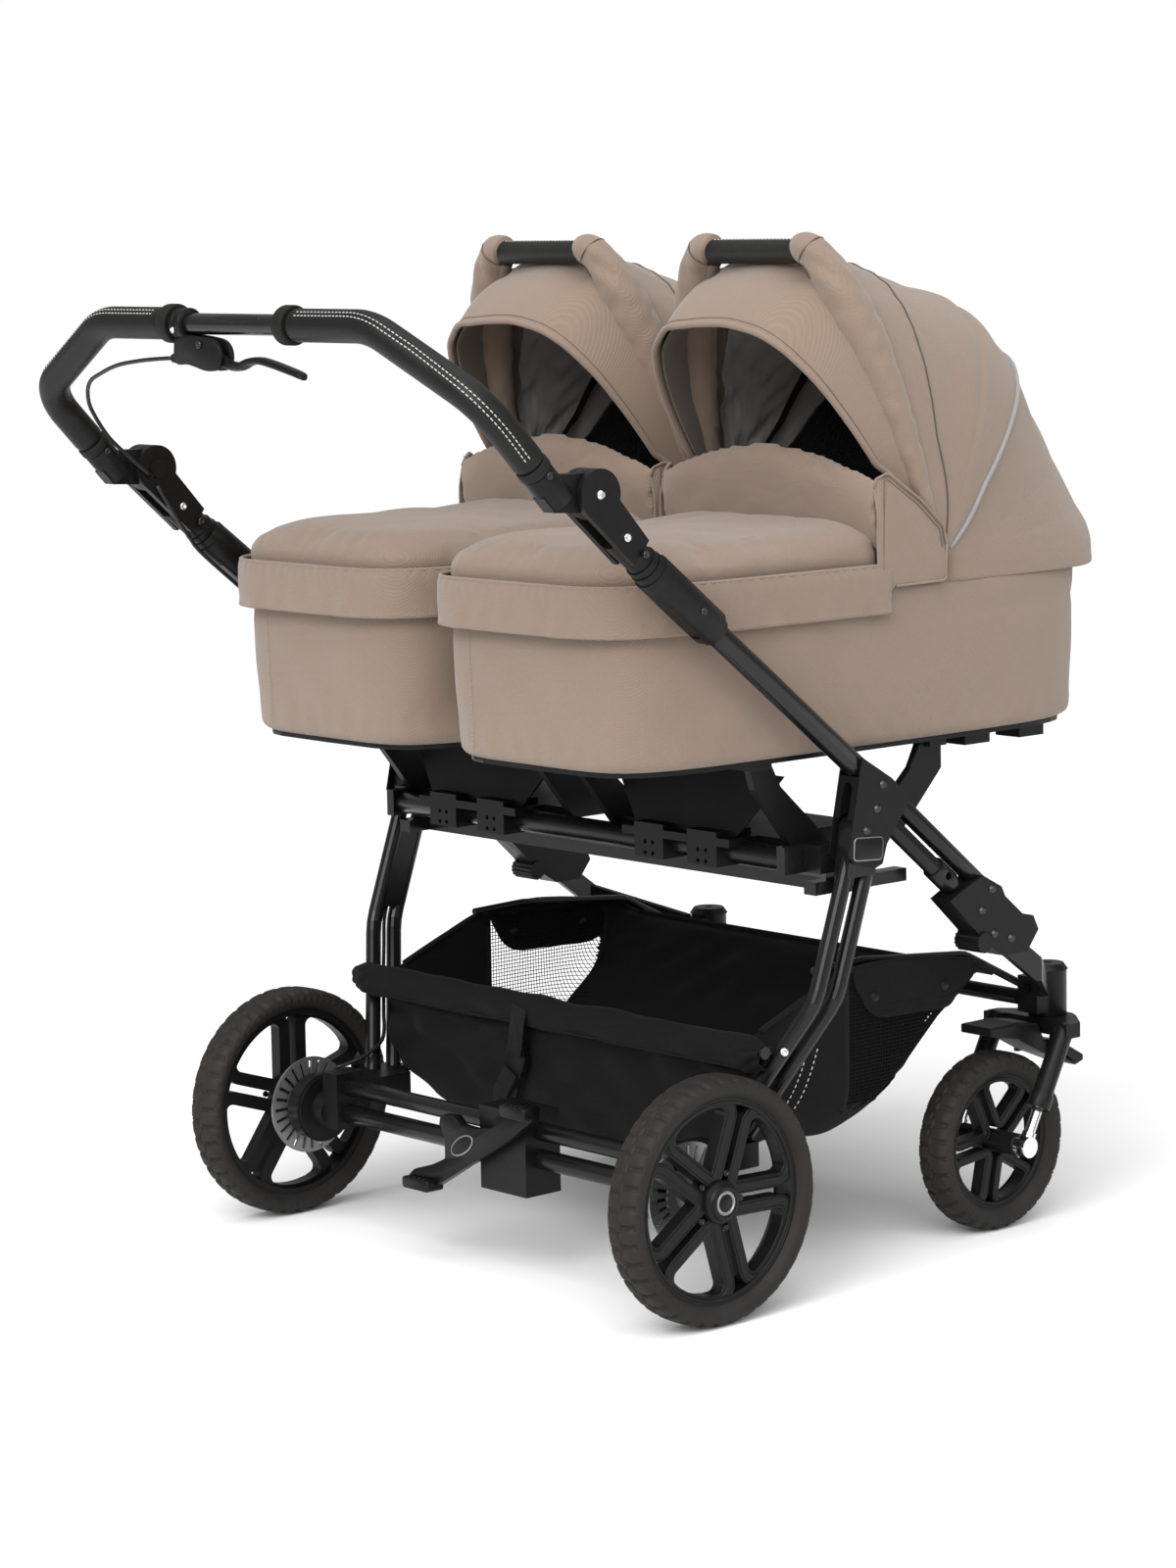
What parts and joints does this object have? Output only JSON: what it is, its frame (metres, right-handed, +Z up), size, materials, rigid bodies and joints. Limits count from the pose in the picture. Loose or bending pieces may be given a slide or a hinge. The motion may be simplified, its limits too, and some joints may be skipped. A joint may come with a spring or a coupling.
{
  "type": "twin pram",
  "caption": "Side-by-side folding pram chassis with lift-off carrycots, sprung swivel front wheels, foot brake, hand brake lever and a slung basket.",
  "frame": {"origin": "on the ground under the middle of the overall box", "axes": "+X across to the right side, +Y forward in the direction of travel, +Z up"},
  "size_m": [0.7828, 1.0311, 1.1206],
  "materials": {
    "frame_metal": "gloss black powder coat",
    "black_plastic": "satin moulded black",
    "chrome": "bright",
    "steel": "satin",
    "grip": "grained leatherette with stitch lines",
    "soft_rubber": "matt",
    "cable": "satin sheath",
    "tyre": "matt dark grey",
    "beige_fabric": "twill",
    "nylon": "black woven nylon",
    "lining": "grey lining"
  },
  "bodies": {
    "chassis": {"side_plates": "black_plastic", "cross_members": "frame_metal", "front_legs": "frame_metal", "front_brackets": "black_plastic", "front_arms": "frame_metal", "swivel_housings": "black_plastic", "cot_cradles": "black_plastic", "frame_rivets": "chrome", "basket": "nylon"},
    "push_frame": {"push_tubes": "frame_metal", "tube_sleeves": "black_plastic", "lower_knuckles": "black_plastic", "knuckle_pins": "chrome", "cable_run": "cable"},
    "handlebar": {"handle_tube": "frame_metal", "handle_grips": "grip", "grip_collars": "soft_rubber", "upper_knuckles": "black_plastic", "lever_bracket": "black_plastic", "cable_loop": "cable"},
    "brake_lever": {"brake_lever": "black_plastic"},
    "button_left": {"button_left": "black_plastic"},
    "button_right": {"button_right": "black_plastic"},
    "rear_frame": {"rear_legs": "frame_metal", "rear_axle": "frame_metal", "axle_castings": "black_plastic", "brake_housings": "black_plastic", "basket_rail": "frame_metal", "leg_cable": "cable"},
    "brake_pedal": {"brake_pedal": "black_plastic"},
    "rear_wheel_left": {"rear_tyre_left": "tyre", "rear_rim_left": "black_plastic", "rear_hub_left": "steel"},
    "fork_left": {"fork_left": "black_plastic"},
    "slider_left": {"slider_left": "chrome"},
    "front_wheel_left": {"front_tyre_left": "tyre", "front_rim_left": "black_plastic"},
    "swivel_lock_left": {"swivel_lock_left": "black_plastic"},
    "cot_left": {"tub_left": "beige_fabric", "cot_base_left": "black_plastic", "apron_left": "beige_fabric", "mattress_left": "lining", "hood_rear_left": "beige_fabric"},
    "hood_left": {"hood_front_left": "beige_fabric", "carry_handle_left": "black_plastic"},
    "rear_wheel_right": {"rear_tyre_right": "tyre", "rear_rim_right": "black_plastic", "rear_hub_right": "steel"},
    "fork_right": {"fork_right": "black_plastic"},
    "slider_right": {"slider_right": "chrome"},
    "front_wheel_right": {"front_tyre_right": "tyre", "front_rim_right": "black_plastic"},
    "swivel_lock_right": {"swivel_lock_right": "black_plastic"},
    "cot_right": {"tub_right": "beige_fabric", "cot_base_right": "black_plastic", "apron_right": "beige_fabric", "mattress_right": "lining", "hood_rear_right": "beige_fabric"},
    "hood_right": {"hood_front_right": "beige_fabric", "carry_handle_right": "black_plastic"}
  },
  "joints": [
    {"name": "fold", "type": "hinge", "parent": "chassis", "child": "push_frame", "pos_m": [0, 0.05577, 0.547], "axis": [-1, 0, 0], "range_deg": [0, 145], "deforming": ["basket"]},
    {"name": "rear_leg_fold", "type": "hinge", "parent": "chassis", "child": "rear_frame", "pos_m": [0, 0.03077, 0.5], "axis": [1, 0, 0], "range_deg": [0, 40]},
    {"name": "handle_tilt", "type": "hinge", "parent": "push_frame", "child": "handlebar", "pos_m": [0, -0.3383, 0.87734], "axis": [1, 0, 0], "range_deg": [-45, 30]},
    {"name": "brake_lever_pull", "type": "hinge", "parent": "handlebar", "child": "brake_lever", "pos_m": [-0.045, -0.49523, 1.025], "axis": [0, -1, 0], "range_deg": [0, 8], "stiffness_Nm_per_rad": 0.6, "springref_deg": -17.19},
    {"name": "knuckle_press_right", "type": "slide", "parent": "push_frame", "child": "button_right", "axis": [1, 0, 0], "range_m": [0, 0.003], "stiffness_N_per_m": 800, "springref_m": -0.002},
    {"name": "knuckle_press_left", "type": "slide", "parent": "push_frame", "child": "button_left", "axis": [-1, 0, 0], "range_m": [0, 0.003], "stiffness_N_per_m": 800, "springref_m": -0.002},
    {"name": "brake_pedal_press", "type": "hinge", "parent": "rear_frame", "child": "brake_pedal", "pos_m": [0.032, -0.17423, 0.148], "axis": [0, 1, 0], "range_deg": [0, 20]},
    {"name": "rear_wheel_spin_left", "type": "hinge", "parent": "rear_frame", "child": "rear_wheel_left", "pos_m": [-0.3575, -0.17423, 0.132], "axis": [1, 0, 0], "continuous": true},
    {"name": "caster_swivel_left", "type": "hinge", "parent": "chassis", "child": "fork_left", "pos_m": [-0.282, 0.42777, 0.234], "axis": [0, 0, 1], "continuous": true},
    {"name": "suspension_left", "type": "slide", "parent": "fork_left", "child": "slider_left", "axis": [0, 0.4702, 0.8825], "range_m": [0, 0.009], "stiffness_N_per_m": 6000, "springref_m": -0.03},
    {"name": "front_wheel_spin_left", "type": "hinge", "parent": "slider_left", "child": "front_wheel_left", "pos_m": [-0.282, 0.33177, 0.1015], "axis": [1, 0, 0], "continuous": true},
    {"name": "swivel_lock_tilt_left", "type": "hinge", "parent": "fork_left", "child": "swivel_lock_left", "pos_m": [-0.282, 0.41378, 0.201], "axis": [-1, 0, 0], "range_deg": [0, 10]},
    {"name": "cot_lift_left", "type": "slide", "parent": "chassis", "child": "cot_left", "axis": [0, 0, 1], "range_m": [0, 0.3]},
    {"name": "hood_fold_left", "type": "hinge", "parent": "cot_left", "child": "hood_left", "pos_m": [-0.175, 0.19477, 0.775], "axis": [-1, 0, 0], "range_deg": [0, 48], "deforming": ["hood_rear_left"]},
    {"name": "rear_wheel_spin_right", "type": "hinge", "parent": "rear_frame", "child": "rear_wheel_right", "pos_m": [0.3575, -0.17423, 0.132], "axis": [1, 0, 0], "continuous": true},
    {"name": "caster_swivel_right", "type": "hinge", "parent": "chassis", "child": "fork_right", "pos_m": [0.282, 0.42777, 0.234], "axis": [0, 0, 1], "continuous": true},
    {"name": "suspension_right", "type": "slide", "parent": "fork_right", "child": "slider_right", "axis": [0, 0.4702, 0.8825], "range_m": [0, 0.009], "stiffness_N_per_m": 6000, "springref_m": -0.03},
    {"name": "front_wheel_spin_right", "type": "hinge", "parent": "slider_right", "child": "front_wheel_right", "pos_m": [0.282, 0.33177, 0.1015], "axis": [1, 0, 0], "continuous": true},
    {"name": "swivel_lock_tilt_right", "type": "hinge", "parent": "fork_right", "child": "swivel_lock_right", "pos_m": [0.282, 0.41378, 0.201], "axis": [-1, 0, 0], "range_deg": [0, 10]},
    {"name": "cot_lift_right", "type": "slide", "parent": "chassis", "child": "cot_right", "axis": [0, 0, 1], "range_m": [0, 0.3]},
    {"name": "hood_fold_right", "type": "hinge", "parent": "cot_right", "child": "hood_right", "pos_m": [0.175, 0.19477, 0.775], "axis": [-1, 0, 0], "range_deg": [0, 48], "deforming": ["hood_rear_right"]}
  ],
  "couplings": [
    {"joint": "rear_leg_fold", "follows": "fold", "ratio": 0.27}
  ]
}
